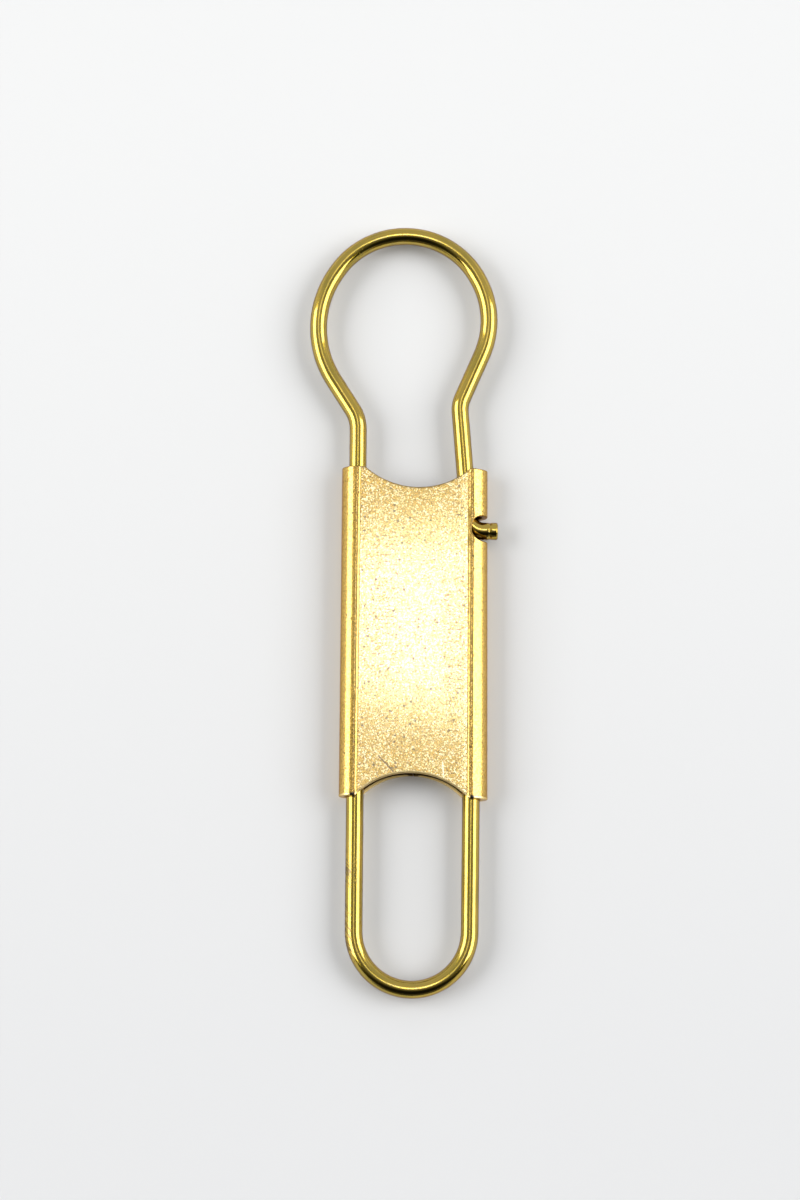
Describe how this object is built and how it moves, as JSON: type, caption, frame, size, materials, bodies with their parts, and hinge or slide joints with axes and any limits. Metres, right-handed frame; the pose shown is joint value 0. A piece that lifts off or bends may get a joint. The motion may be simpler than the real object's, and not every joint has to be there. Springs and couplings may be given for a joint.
{
  "type": "belt key clip",
  "caption": "Flat key clip of one bent spring wire, with a hook bow at one end and a key loop at the other, closed by a sliding folded sleeve that a nib on the wire locks.",
  "frame": {"origin": "middle of the sleeve's back face, which the clip lies on, with the sleeve in its locked place", "axes": "+Y along the clip towards the hook bow, +Z through its thickness towards the front panel, +X towards the edge that the nib stands out of"},
  "size_m": [0.0253, 0.1038, 0.0042],
  "materials": {
    "wire": "polished spring wire, lightly tarnished",
    "sleeve": "satin, fine-grained sheet with worn bright rolls"
  },
  "bodies": {
    "frame": {"wire_frame": "wire"},
    "hook": {"hook_arm": "wire", "latch_nib": "wire"},
    "loop_end": {"loop_arm": "wire"},
    "slider": {"sleeve": "sleeve"}
  },
  "joints": [
    {"name": "sleeve_slide", "type": "slide", "parent": "frame", "child": "slider", "axis": [0, 1, 0], "range_m": [-0.017, 0.0057], "deforming": ["latch_nib"]},
    {"name": "nib_press", "type": "hinge", "parent": "frame", "child": "hook", "pos_m": [0.00874, 0.0429, 0.0021], "axis": [0, 0, -1], "range_deg": [0, 5.2], "stiffness_Nm_per_rad": 2.07, "springref_deg": -1.98},
    {"name": "loop_flex", "type": "hinge", "parent": "frame", "child": "loop_end", "pos_m": [0, -0.04554, 0.0021], "axis": [0, 0, 1], "range_deg": [0, 4], "stiffness_Nm_per_rad": 5.2}
  ]
}
